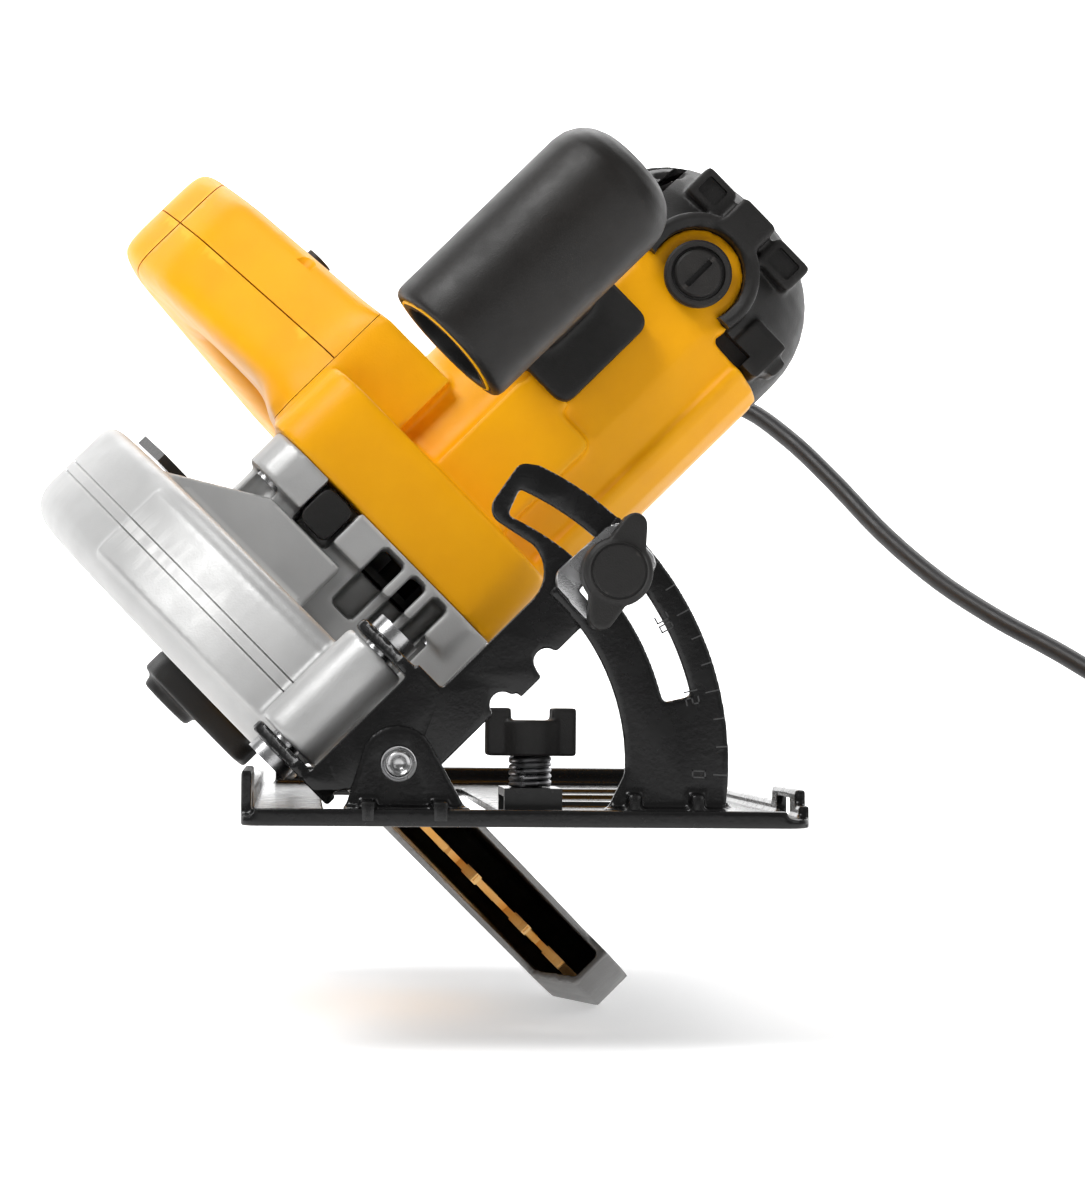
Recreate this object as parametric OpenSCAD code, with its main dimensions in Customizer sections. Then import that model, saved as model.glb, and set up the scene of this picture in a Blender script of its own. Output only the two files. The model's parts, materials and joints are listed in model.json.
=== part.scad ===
// Corded circular saw, resting with its base tilted to a 45 degree bevel.
// Two frames are used. The base frame has X to the right, Y to the back and Z up, and its
// origin is on the bevel axis. The saw frame is the same, turned by the bevel angle, so that
// X runs along the spindle from blade to motor, Y to the back, and Z up from the base.

/* [Blade] */
// Diameter over the carbide tips
blade_d = 190; // [186:1:190]
// Bore of the blade
bore_d = 30; // [24:1:30]
// Thickness of the blade's steel
blade_t = 1.8; // [1.4:0.1:2]
// Width of the carbide tips
kerf = 2.6; // [2.4:0.1:2.8]
// Number of teeth
teeth = 24; // [12:1:30]

/* [Base] */
// Length of the base plate, front to back
shoe_l = 300; // [290:1:310]
// Width of the base plate
shoe_w = 135; // [133:1:140]
// Sheet thickness of the base plate
shoe_t = 2.5; // [2:0.1:3]
// Angle of the saw above the base
bevel = 45; // [44:1:46]

/* [Motor] */
// Radius of the motor housing
motor_r = 37; // [36.5:0.1:37.5]
// Length from gear case face to the end of the cap
motor_l = 141; // [140:1:144]
// Pinion teeth
pinion_n = 9; // [9:1:9]
// Spindle gear teeth
gear_n = 33; // [33:1:33]

/* [Handles] */
// Width of the main handle
handle_w = 36; // [34:1:37]
// Diameter of the front handle
grip_d = 37; // [34:1:38]
// Length of the front handle
grip_l = 67; // [60:1:68]

/* [Cord] */
// Diameter of the mains cord
cord_d = 6.2; // [6:0.1:6.4]
// Turns of the coil side by side
coil_across = 3; // [3:1:3]
// Turns of the coil on top of each other
coil_high = 4; // [4:1:4]

/* [Hidden] */
$fn = 64;

axis_w = 11.4;                 // spindle axis above the bevel axis
sole_z = -14.7;                // underside of the base below the bevel axis
blade_u = -6;                  // middle plane of the blade
blade_r = blade_d / 2;
guard_r = 102;                 // outer radius of the lower guard
hood_r = 106;                  // outer radius of the upper guard
rim_u = -6.5;                  // left edge of the lower guard's flat rim
gear_gap = 24;                 // distance between spindle and motor axes
motor_w = 34;                  // motor axis above the bevel axis
motor_y = sqrt(pow(gear_gap, 2) - pow(motor_w - axis_w, 2));
case_u = 10.4;                 // joint between guard and gear case
case_screws = [[-30, 10], [-30, 66], [40, 60], [39, 11]];
housing_spots = [[-38, 12], [-36, 74], [45, 11]];
flange_u = 40;                 // joint between gear case and motor housing
cap_u = 142;                   // front edge of the end cap
end_u = flange_u + motor_l;    // far end of the cap
brush_u = 151;                 // brush axis
handle_u = 65;                 // parting plane of the main handle
pin_y = -115;                  // depth pin, behind the front ear
pin_w = 22;
slot_r = 68.15;                // middle radius of the bevel slots
slot_w = 6.9;
bolt_a = 42;                   // clamp bolt's angle above the base
ear_y = -133;                  // front face of the fixed front ear
plate_y = -129.7;              // front face of the tilt bracket
sheet = 3;                     // thickness of the brackets
fence_x = 33;                  // rip fence screw
fence_y = -108;
lift = 0.2;                    // free play between brackets

// Ground level is under the rim of the lower guard, with the origin below the saw's middle
pivot_x = -11.48;
pivot_y = -8.22;
pivot_z = (guard_r - axis_w) * cos(bevel) - rim_u * sin(bevel);

// ---- outlines ----
function unit(v) = v / norm(v);
function cross2(a, b) = a.x * b.y - a.y * b.x;
function at(v, i) = is_list(v) ? v[i] : v;
function arc(c, r, from, to, n = 12) =
    [for (i = [0:n]) c + r * [cos(from + (to - from) * i / n), sin(from + (to - from) * i / n)]];
function corner(a, b, c, r, n = 5) =
    let (
        p = unit(a - b),
        q = unit(c - b),
        half = acos(p * q) / 2,
        mid = b + unit(p + q) * r / sin(half),
        s = b + p * r / tan(half) - mid,
        from = atan2(s.y, s.x),
        turn = (180 - 2 * half) * sign(cross2(b - a, c - b))
    )
    arc(mid, r, from, from + turn, n);
// A closed outline whose corners are rounded to the radii r
function rounded(pts, r) =
    let (n = len(pts))
    [for (i = [0:n - 1]) each at(r, i) > 0
        ? corner(pts[(i + n - 1) % n], pts[i], pts[(i + 1) % n], at(r, i))
        : [pts[i]]];
function box2(a, b) = [a, [b.x, a.y], b, [a.x, b.y]];
// Part of a ring between two radii and two angles
function sector(r0, r1, from, to, n = 16) =
    concat(arc([0, 0], r1, from, to, n), arc([0, 0], r0, to, from, n));
// Almost square round outline of the motor housing
function squircle(r, k = 2.5, n = 48) =
    [for (i = [0:n - 1]) let (a = 360 * i / n)
        r / pow(pow(abs(cos(a)), k) + pow(abs(sin(a)), k), 1 / k) * [cos(a), sin(a)]];

// ---- placing ----
module base() {
    translate([pivot_x, pivot_y, pivot_z]) children();
}
module saw() {
    base() rotate([0, -bevel, 0]) children();
}
module along_u(u0, u1) {
    translate([u0, 0, 0]) rotate([90, 0, 90]) linear_extrude(height = u1 - u0) children();
}
module along_y(y0, y1) {
    translate([0, y1, 0]) rotate([90, 0, 0]) linear_extrude(height = y1 - y0) children();
}
module disc(r, u0, u1, y = 0, w = 0) {
    translate([u0, y, w]) rotate([0, 90, 0]) cylinder(h = u1 - u0, r = r);
}
module rod(r, y0, y1, u = 0, w = 0) {
    translate([u, y0, w]) rotate([-90, 0, 0]) cylinder(h = y1 - y0, r = r);
}
module block(a, b) {
    translate(a) cube(b - a);
}
// Turned about the spindle: 0 points down, 90 back, 180 up, and the profile is [r, u]
module fan_out(from, to) {
    translate([0, 0, axis_w]) rotate([0, 90, 0]) rotate([0, 0, from])
        rotate_extrude(angle = to - from, $fn = 120) children();
}
module ring(r0, r1, u0, u1, y = 0, w = 0) {
    difference() {
        disc(r1, u0, u1, y, w);
        disc(r0, u0 - 1, u1 + 1, y, w);
    }
}

// ---- guards and blade ----
hood_left = -22;
hood_wall = 2.4;
hood_in = hood_r - hood_wall;
hood_outside = concat(
    [[18, hood_left]],
    corner([0, hood_left], [hood_r, hood_left], [hood_r, 0], 9),
    corner([hood_r, 0], [hood_r, case_u], [0, case_u], 4),
    [[18, case_u]]
);
hood_inside = [[0, hood_left + hood_wall], [hood_r - 9, hood_left + hood_wall],
    [hood_in, hood_left + 9], [hood_in, case_u - hood_wall], [0, case_u - hood_wall]];
lug_y = 74;                    // depth clamp lug at the back
lug_w = 4;
module hood_shell() {
    difference() {
        union() {
            fan_out(92, 268) polygon(hood_outside);
            disc(9, -15, 15, pin_y, pin_w);
            block([-15, pin_y, pin_w - 9], [15, -102.5, pin_w + 9]);
            disc(9, case_u - 2.2, case_u + 2, lug_y, lug_w);
            block([case_u - 2.2, lug_y - 9, lug_w], [case_u - 0.1, lug_y + 9, lug_w + 16]);
            block([case_u - 2.2, -38, -2], [case_u - 0.1, 44, 30]);
            for (y = [-44, 30]) gusset(y);
        }
        fan_out(0, 360) polygon(hood_inside);
        disc(hood_r - 46, hood_left - 1, hood_left + hood_wall + 1, 0, axis_w);
    }
}
module upper_guard() {
    color("silver") saw() difference() {
        union() {
            hood_shell();
            disc(21.95, 1, case_u - 0.5, 0, axis_w);
        }
        rod(port_bore, 60, 115, blade_u, port_w);
        for (p = case_screws) disc(2.05, 7, 12, p.x, p.y);
        disc(17.5, 0, case_u + 1, 0, axis_w);
        disc(4.02, -16, 16, pin_y, pin_w);
        disc(4.02, 0, 20, lug_y, lug_w);
        for (u = [-7.4, -4.2]) hood_groove(u);
    }
}
module hood_groove(u) {
    fan_out(100, 262) polygon(box2([hood_r - 0.5, u - 0.4], [hood_r + 1, u + 0.4]));
}
module gusset(y) {
    translate([0, y + 4, 0]) rotate([90, 0, 0]) linear_extrude(height = 4)
        polygon([[case_u - 1, 44], [26, 44], [26, 70], [case_u - 1, 97]]);
}
mouth_a = -30;                 // the rim starts here, the side walls further forward
rim_profile = [
    [60, -13.5], [91.5, -13.5], [guard_r, rim_u], [guard_r, 5], [24, 5], [24, 3.2],
    [guard_r - 2, 3.2], [guard_r - 2, rim_u + 1.2], [90.6, -11.7], [60, -11.7]
];
module lower_guard() {
    color("gray") saw() difference() {
        union() {
            fan_out(mouth_a, 112) polygon(rim_profile);
            fan_out(-84, mouth_a + 1) polygon(box2([25, 3.3], [95, 4.9]));
            fan_out(-84, mouth_a + 1) polygon(box2([62, -13.4], [90, -11.8]));
            fan_out(94, 111) polygon(box2([44, -13.4], [64, -11.8]));
            disc(28, 2, 7.6, 0, axis_w);
        }
        disc(22.02, 1, 9, 0, axis_w);
    }
}
lever_points = [[50, 27], [66, 24], [78, 36], [82, 56], [70, 68], [56, 62], [50, 44]];
module guard_lever() {
    color("dimgray") saw() {
        fan_out(96, 110) polygon(box2([46, -25], [57, -13.5]));
        along_u(-32, -24.4) polygon(rounded(lever_points, [5, 5, 8, 10, 10, 8, 8]));
        disc(9, -35.5, -31.9, 68, 54);
    }
}
// A spiral tension spring inside the guard hub, as a flat washer of wire
module guard_spring() {
    color("lightgray") saw() ring(28.4, 31, 5.3, 7.4, 0, axis_w);
}
port_w = 62;
port_bore = 11.5;
module dust_port() {
    color("dimgray") saw() difference() {
        rod(14, 80, 124, blade_u, port_w);
        rod(port_bore, 70, 130, blade_u, port_w);
        fan_out(0, 360) polygon(box2([1, hood_left], [hood_r, case_u]));
    }
}
gullet_r = blade_r - 8.5;
function tooth(i) = let (a = 360 * i / teeth, s = 360 / teeth) [
    blade_r * [cos(a), sin(a)],
    (blade_r - 3) * [cos(a + 0.36 * s), sin(a + 0.36 * s)],
    (blade_r - 5) * [cos(a + 0.62 * s), sin(a + 0.62 * s)],
    gullet_r * [cos(a + 0.76 * s), sin(a + 0.76 * s)],
    gullet_r * [cos(a + 0.92 * s), sin(a + 0.92 * s)]
];
tip_l = 6;
module blade() {
    color("orange") saw() translate([blade_u, 0, axis_w]) rotate([0, 90, 0]) difference() {
        union() {
            translate([0, 0, -blade_t / 2]) linear_extrude(height = blade_t)
                polygon([for (i = [0:teeth - 1]) each tooth(i)]);
            for (i = [0:teeth - 1]) rotate([0, 0, 360 * i / teeth])
                translate([blade_r - tip_l - 0.3, -0.5, -kerf / 2]) cube([tip_l, 2, kerf]);
        }
        translate([0, 0, -5]) cylinder(h = 10, r = bore_d / 2);
        for (i = [0:3]) rotate([0, 0, 90 * i + 7]) {
            translate([blade_r - 24, 0, -5]) cylinder(h = 10, r = 2.2, $fn = 20);
            translate([blade_r - 24, -0.8, -5]) cube([16, 1.6, 10]);
        }
    }
}
module inner_flange() {
    color("gray") saw() difference() {
        union() {
            disc(20, -5.1, -0.6, 0, axis_w);
            disc(bore_d / 2 - 0.02, -6.8, -5, 0, axis_w);
        }
        disc(5, -8, 1, 0, axis_w);
    }
}
module outer_flange() {
    color("gray") saw() difference() {
        disc(20, -10.4, -6.9, 0, axis_w);
        disc(5, -12, -6, 0, axis_w);
        disc(12, -11, -9.6, 0, axis_w);
    }
}
module blade_bolt() {
    color("silver") saw() {
        translate([-16.5, 0, axis_w]) rotate([0, 90, 0]) cylinder(h = 5.4, r = 7.5, $fn = 6);
        disc(11.5, -11.2, -9.6, 0, axis_w);
        disc(3.5, -9.7, 4, 0, axis_w);
    }
}
module spindle_shaft() {
    color("silver") saw() difference() {
        union() {
            disc(4.98, -9.6, -0.5, 0, axis_w);
            disc(7.48, -0.6, 12.5, 0, axis_w);
            disc(6.98, 12.4, 22, 0, axis_w);
            disc(3.98, 21.9, 30, 0, axis_w);
        }
        disc(3.5, -10, 4, 0, axis_w);
    }
}
// ---- gears ----
gear_m = 2 * gear_gap / (gear_n + pinion_n);
function involute(rb, t) = rb * [cos(t) + t * PI / 180 * sin(t), sin(t) - t * PI / 180 * cos(t)];
function spin(p, a) = [p.x * cos(a) - p.y * sin(a), p.x * sin(a) + p.y * cos(a)];
function gear_flank(n, play) =
    let (
        rp = gear_m * n / 2,
        rb = rp * cos(20),
        ra = rp + 0.8 * gear_m,
        t_pitch = sqrt(pow(rp / rb, 2) - 1) * 180 / PI,
        t_top = sqrt(pow(ra / rb, 2) - 1) * 180 / PI,
        at_pitch = involute(rb, t_pitch),
        lag = atan2(at_pitch.y, at_pitch.x) + (90 - play) / n
    )
    [for (i = [0:3]) spin(involute(rb, t_top * i / 3), -lag)];
function gear_outline(n, play) =
    let (
        f = gear_flank(n, play),
        foot = gear_m * n / 2 - 1.05 * gear_m,
        low = foot * unit(f[0])
    )
    [for (i = [0:n - 1]) each concat(
        [spin(low, 360 * i / n)],
        [for (p = f) spin(p, 360 * i / n)],
        [for (k = [3:-1:0]) spin([f[k].x, -f[k].y], 360 * i / n)],
        [spin([low.x, -low.y], 360 * i / n)]
    )];
mesh_a = atan2(motor_w - axis_w, motor_y);
module drive_gear() {
    color("gray") saw() difference() {
        translate([0, 0, axis_w]) along_u(13, 21) rotate(mesh_a) polygon(gear_outline(gear_n, 8));
        disc(7, 12, 22, 0, axis_w);
    }
}
module spindle_bearings() {
    color("lightgray") saw() {
        ring(7.5, 17.48, 1.2, 12, 0, axis_w);
        ring(4, 10.98, 23.2, 30, 0, axis_w);
    }
}

// ---- gear case and motor ----
vent_w = [16.5, 24.4, 32.6];
vent_h = [5.2, 5.2, 7.6];
module gear_case() {
    color("silver") saw() difference() {
        union() {
            along_u(case_u, 30) polygon(rounded(box2([-38, 4], [44, 76]), 9));
            disc(23.8, case_u, 24.5, 0, axis_w);
            along_u(29, flange_u) polygon(rounded(box2([-46, 2], [50, 82]), 12));
            disc(9, case_u, flange_u, -30, 71);
            block([case_u, -44, 3], [flange_u, -30, 14]);
        }
        disc(17.5, case_u - 1, 13, 0, axis_w);
        disc(21.4, 12.2, 22.4, 0, axis_w);
        disc(8.5, 11.6, 23, motor_y, motor_w);
        disc(11, 22.3, 31, 0, axis_w);
        disc(11, 22.3, 31, motor_y, motor_w);
        disc(33, 30.2, flange_u + 1, motor_y, motor_w);
        for (y = [-44, 30]) block([case_u - 1, y - 0.1, 44], [26.1, y + 4.1, 98]);
        for (i = [0:2]) block([18, -60, vent_w[i]], [flange_u - 1.5, -22.5, vent_w[i] + vent_h[i]]);
        block([26, -60, 51], [flange_u + 1, -31, 63]);
        rod(4.05, -50, -19, 33, 57);
        for (p = case_screws) {
            disc(2.05, 5, 30, p.x, p.y);
            disc(4.2, 24, flange_u + 1, p.x, p.y);
        }
        for (p = housing_spots) {
            disc(4.2, case_u - 1, 32, p.x, p.y);
            disc(2.05, 31, flange_u + 1, p.x, p.y);
        }
    }
}
module gear_case_screws() {
    color("gray") saw() for (p = case_screws) cap_screw(28, 15.6, p.x, p.y);
}
// A socket screw whose head starts at u, with its shank towards the blade, or away if turned
module cap_screw(u, l, y, w, turn = 1) {
    translate([u, y, w]) rotate([0, -90 * turn, 0]) {
        difference() {
            cylinder(h = 4, r = 4);
            translate([0, 0, -1]) cylinder(h = 3, r = 1.7, $fn = 6);
        }
        translate([0, 0, 4]) cylinder(h = l, r = 2);
    }
}
module spindle_lock() {
    color("dimgray") saw() {
        along_y(-46.5, -36) polygon(rounded(box2([27.5, 52], [38.8, 62]), 2.5));
        rod(4, -37, -24, 33, 57);
    }
}
module motor_outline(r) {
    translate([motor_y, motor_w]) polygon(squircle(r));
}
tower_r = 12.8;
collar_r = 17;
module motor_shell() {
    difference() {
        union() {
            along_u(flange_u, 62) polygon(rounded(box2([-46, 2], [52, 85]), 14));
            along_u(60, cap_u) motor_outline(motor_r);
            along_u(54, 100) polygon(rounded(box2([-33, 20], [-20, 47]), 3));
        }
        for (s = [-1, 1]) rod(collar_r, motor_y + s * 35 - 6, motor_y + s * 35 + 6, brush_u, motor_w);
    }
}
module motor_housing() {
    color("gold") saw() difference() {
        union() {
            motor_shell();
            disc(30.9, cap_u - 1, end_u - 24.5, motor_y, motor_w);
            disc(28, end_u - 25, end_u - 19, motor_y, motor_w);
            disc(18, end_u - 20, end_u - 11, motor_y, motor_w);
            for (s = [-1, 1]) rod(tower_r, motor_y + s * 32.5 - 6, motor_y + s * 32.5 + 6, brush_u, motor_w);
        }
        for (p = housing_spots) disc(2.05, 30, 58, p.x, p.y);
        disc(33.2, flange_u - 1, 132, motor_y, motor_w);
        disc(24, 131, 160, motor_y, motor_w);
        disc(11, 159, 168.5, motor_y, motor_w);
        rod(7, motor_y - 40, motor_y + 40, brush_u, motor_w);
    }
}
module housing_screws() {
    color("gray") saw() for (p = housing_spots) cap_screw(28, 24, p.x, p.y, -1);
}
cap_profile = concat(
    [[0, end_u]],
    arc([7, end_u - 30], 30, 90, 0, 10),
    [[motor_r, cap_u], [31, cap_u], [31, end_u - 24], [24, end_u - 6], [0, end_u - 6]]
);
module end_cap() {
    color("dimgray") saw() difference() {
        union() {
            translate([0, motor_y, motor_w]) rotate([0, 90, 0]) rotate_extrude($fn = 72)
                polygon(cap_profile);
            for (s = [-1, 1]) rod(collar_r - 0.1, motor_y + s * 35 - 5.5, motor_y + s * 35 + 5.5,
                brush_u, motor_w);
        }
        disc(30.9, cap_u - 1, end_u - 24.5, motor_y, motor_w);
        for (s = [-1, 1]) rod(tower_r, motor_y + s * 34 - 10, motor_y + s * 34 + 10, brush_u, motor_w);
        for (i = [0:4]) block([165, motor_y - 2 + 9 * (i - 2), motor_w + 22],
            [end_u - 8, motor_y + 2 + 9 * (i - 2), motor_w + 40]);
    }
}
module brush_caps() {
    color("dimgray") saw() for (s = [-1, 1]) difference() {
        rod(9.25, motor_y + s * 40 - 1.5, motor_y + s * 40 + 1.5, brush_u, motor_w);
        block([brush_u - 5, motor_y + s * 41.5 - 1, motor_w - 0.8],
            [brush_u + 5, motor_y + s * 41.5 + 1, motor_w + 0.8]);
    }
}
module carbon_brushes() {
    color("dimgray") saw() for (s = [-1, 1]) {
        y = motor_y + s * 24;
        block([brush_u - 4.5, y - 9.8, motor_w - 3], [brush_u + 4.5, y + 9.8, motor_w + 3]);
    }
}
module stator() {
    color("peru") saw() {
        ring(23, 33, 62, 116, motor_y, motor_w);
        for (u = [56, 116]) ring(24, 31, u, u + 6.5, motor_y, motor_w);
    }
}
module armature_shaft() {
    color("silver") saw() {
        disc(3.98, 22.4, 30, motor_y, motor_w);
        disc(5, 30, 161, motor_y, motor_w);
        disc(3.98, 160, 168, motor_y, motor_w);
        translate([0, motor_y, motor_w]) along_u(12.5, 22.4)
            rotate(mesh_a + 180 + 180 / pinion_n) polygon(gear_outline(pinion_n, 8));
    }
}
module armature_core() {
    color("peru") saw() {
        ring(5, 22.5, 62, 116, motor_y, motor_w);
        for (u = [52, 116]) ring(5, 20, u, u + 10, motor_y, motor_w);
    }
}
module commutator() {
    color("peru") saw() ring(5, 14, 141, 158, motor_y, motor_w);
}
blades_n = 11;
module fan() {
    color("dimgray") saw() {
        difference() {
            union() {
                disc(31, 31, 33, motor_y, motor_w);
                disc(9, 33, 39.5, motor_y, motor_w);
                translate([0, motor_y, motor_w]) for (i = [0:blades_n - 1])
                    rotate([360 * i / blades_n, 0, 0])
                        block([32.9, 13, -0.8], [39, 30, 0.8]);
            }
            disc(5, 30, 41, motor_y, motor_w);
        }
    }
}
module armature_bearings() {
    color("lightgray") saw() {
        ring(4, 10.98, 22.6, 29.6, motor_y, motor_w);
        ring(4, 10.98, 161, 168, motor_y, motor_w);
    }
}

// ---- main handle ----
handle_points = [
    [-29, 60], [-27, 88], [17, 140], [44, 158], [76, 156], [156, 108], [166, 90],
    [160, 34], [142, 20], [40, 20], [40, 60]
];
handle_radii = [0, 20, 24, 22, 30, 16, 20, 16, 20, 0, 0];
hole_points = [
    [26, 82], [32, 112], [46, 122], [68, 121], [130, 84], [134, 70], [126, 52], [64, 50], [44, 72]
];
hole_radii = [8, 10, 8, 14, 8, 8, 12, 12, 10];
screw_spots = [[-2, 100], [24, 134], [150, 96], [146, 40], [70, 34]];
trigger_w = 8.8;               // half width of the trigger
trigger_at = [85, 111];        // trigger pivot
lock_at = [18, 112];           // lock-off button
module handle_half(u0, u1) {
    difference() {
        along_u(u0, u1) polygon(rounded(handle_points, handle_radii));
        along_u(u0 - 1, u1 + 1) polygon(rounded(hole_points, hole_radii));
        along_u(60, cap_u) motor_outline(motor_r);
        block([30, -60, 0], [62, 52, 85]);
        block([handle_u - trigger_w - 0.4, 40, 100], [handle_u + trigger_w + 0.4, 95, 140]);
        block([handle_u - 8.2, 94, 106.3], [handle_u + 8.2, 124.2, 121.2]);
        block([handle_u - 8, 138, 62], [handle_u + 8, 150, 86]);
        rod(7, 130, 170, handle_u, exit_w);
        disc(4.2, 71, 90, lock_at.x, lock_at.y);
        disc(2.46, 50, 80, trigger_at.x, trigger_at.y);
        for (p = screw_spots) {
            disc(1.9, u0 - 1, u1 + 1, p.x, p.y);
            disc(4.1, handle_u + handle_w / 2 - 3.2, 90, p.x, p.y);
        }
    }
}
module left_handle() {
    color("gold") saw() handle_half(handle_u - handle_w / 2, handle_u);
}
module right_handle() {
    color("gold") saw() handle_half(handle_u, handle_u + handle_w / 2);
}
module handle_screws() {
    color("gray") saw() for (p = screw_spots) {
        disc(3.9, handle_u + handle_w / 2 - 3.2, handle_u + handle_w / 2 - 1, p.x, p.y);
        disc(1.8, handle_u - 12, handle_u + handle_w / 2 - 3.2, p.x, p.y);
    }
}
module switch() {
    color("dimgray") saw() block([handle_u - 8, 98, 106.5], [handle_u + 8, 124, 121]);
}
module trigger() {
    color("dimgray") saw() difference() {
        along_u(handle_u - trigger_w, handle_u + trigger_w) polygon(rounded(
            [[44, 128], [45, 112], [56, 106], [74, 97], [88, 101], [91, 112], [80, 122]],
            [3, 5, 8, 6, 5, 4, 4]));
        disc(2.5, handle_u - 10, handle_u + 10, trigger_at.x, trigger_at.y);
    }
}
module trigger_pin() {
    color("silver") saw() disc(2.45, 51, 79, trigger_at.x, trigger_at.y);
}
module lock_button() {
    color("dimgray") saw() disc(4, 75, handle_u + handle_w / 2 + 2.2, lock_at.x, lock_at.y);
}

// ---- front handle ----
grip_u = 82;
grip_y = -88;
grip_w = 65;
grip_r = grip_d / 2;
core_r = grip_r - 3;
mouth_depth = 38;
module grip_axis() {
    translate([grip_u, grip_y, grip_w]) rotate([0, 90, 0]) children();
}
// The open end is cut at a slant, so that the side nearest the user is shorter
module grip_mouth() {
    grip_axis() rotate([-6, 0, 0]) translate([-40, -40, -30.6]) cube([80, 80, 30]);
}
module front_handle_arm() {
    color("dimgray") saw() difference() {
        union() {
            along_y(-38, -24) polygon(rounded(box2([99, 33.5], [132, 70]), 4));
            along_y(-76, -30) polygon(rounded(box2([104, 47], [127, 76]), 6));
        }
        along_u(60, cap_u) motor_outline(motor_r);
        along_u(50, 100) polygon(box2([-34, 19], [-20, 48]));
        disc(grip_r, grip_u - 5, grip_u + grip_l, grip_y, grip_w);
    }
}
module front_handle_core() {
    color("gold") saw() difference() {
        disc(core_r, grip_u, grip_u + grip_l - 12, grip_y, grip_w);
        disc(core_r - 2.6, grip_u - 1, grip_u + mouth_depth, grip_y, grip_w);
        grip_mouth();
    }
}
module front_grip() {
    color("dimgray") saw() difference() {
        grip_axis() rotate_extrude() polygon(concat(
            [[core_r, 0]],
            corner([0, 0], [grip_r, 0], [grip_r, grip_l], 2.4),
            corner([grip_r, 0], [grip_r, grip_l], [0, grip_l], 11),
            [[0, grip_l], [0, grip_l - 12], [core_r, grip_l - 12]]
        ));
        grip_mouth();
    }
}

// ---- tilt frame ----
module bevel_slot(from, to) {
    polygon(sector(slot_r - slot_w / 2, slot_r + slot_w / 2, from, to));
}
window_r = [59.2, 63.4];
module tilt_plate_outline() {
    difference() {
        polygon(concat(
            [[-19, 13.3], [-19, 9], [-12, 3], [-7, -7.6], [24.4, -7.6]],
            arc([27.6, -7.6], 3.2, 180, 0, 6),
            [[32, -7.6], [32, -9.4], [39, -9.4], [39, -7.6]],
            arc([42.4, -7.6], 3.2, 180, 0, 6),
            [[54, -7.6], [60, -10.9]],
            arc([0, 0], 78.8, -8.3, 20, 10),
            corner([75, 26], [71, 31], [60, 28], 3),
            corner([70, 31], [56.6, 28], [59.6, 14], 4),
            arc([50.4, 14.6], 9.2, 0, -90, 6),
            [[20, 5.4], [20, 13.3]]
        ));
        circle(r = 2.54);
        bevel_slot(-7.3, 21.6);
        polygon(sector(window_r[0], window_r[1], -6.6, -0.6, 4));
    }
}
module tilt_bracket() {
    color("dimgray") saw() {
        along_y(plate_y, plate_y + sheet) tilt_plate_outline();
        difference() {
            for (u = [-19, 16]) along_u(u, u + 3) polygon(concat(
                [[plate_y + 0.5, 4.6], [pin_y - 6, 4.6], [pin_y + 4, 14.5]],
                arc([pin_y, pin_w], 8.5, -60, 110), [[plate_y + 0.5, 17]]));
            disc(4.02, -30, 30, pin_y, pin_w);
        }
    }
}
module depth_pin() {
    color("silver") saw() {
        disc(3.98, -19, 19, pin_y, pin_w);
        disc(6, -22.2, -19 - lift, pin_y, pin_w);
        disc(6, 19 + lift, 22.7, pin_y, pin_w);
    }
}
bracket_u = 13;
lug_r = norm([lug_y - pin_y, lug_w - pin_w]);
lug_a = atan2(lug_w - pin_w, lug_y - pin_y);
depth_a = 30;
back_y = 132;
module depth_bracket() {
    color("dimgray") saw() {
        along_u(bracket_u, bracket_u + sheet) difference() {
            union() {
                translate([pin_y, pin_w])
                    polygon(sector(lug_r - 10, lug_r + 10, lug_a - 3, lug_a + depth_a + 3));
                polygon(rounded([[74, -8], [back_y + sheet, -8], [back_y + sheet, 13], [100, 13],
                    [86, 36], [74, 36]], [3, 0, 3, 14, 3, 0]));
            }
            translate([pin_y, pin_w])
                polygon(sector(lug_r - 4.1, lug_r + 4.1, lug_a - 1.3, lug_a + depth_a + 1.3));
        }
        along_y(back_y, back_y + sheet) difference() {
            polygon(rounded([[-9, -4], [-5, -8], [bracket_u + 0.1, -8], [bracket_u + 0.1, 13],
                [-9, 13]], [3, 3, 0, 0, 6]));
            circle(r = 2.54);
        }
    }
}
module depth_bolt() {
    color("silver") saw() {
        disc(3.98, case_u - 2.4, 26, lug_y, lug_w);
        disc(9, bracket_u + sheet + lift, bracket_u + sheet + 2, lug_y, lug_w);
    }
}
module depth_lever() {
    color("dimgray") saw() difference() {
        union() {
            disc(10, bracket_u + 5.2, 30, lug_y, lug_w);
            translate([0, lug_y, lug_w]) rotate([20, 0, 0])
                block([22, 0, -5], [29, 52, 5]);
        }
        disc(4.02, 10, 26.1, lug_y, lug_w);
    }
}

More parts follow.
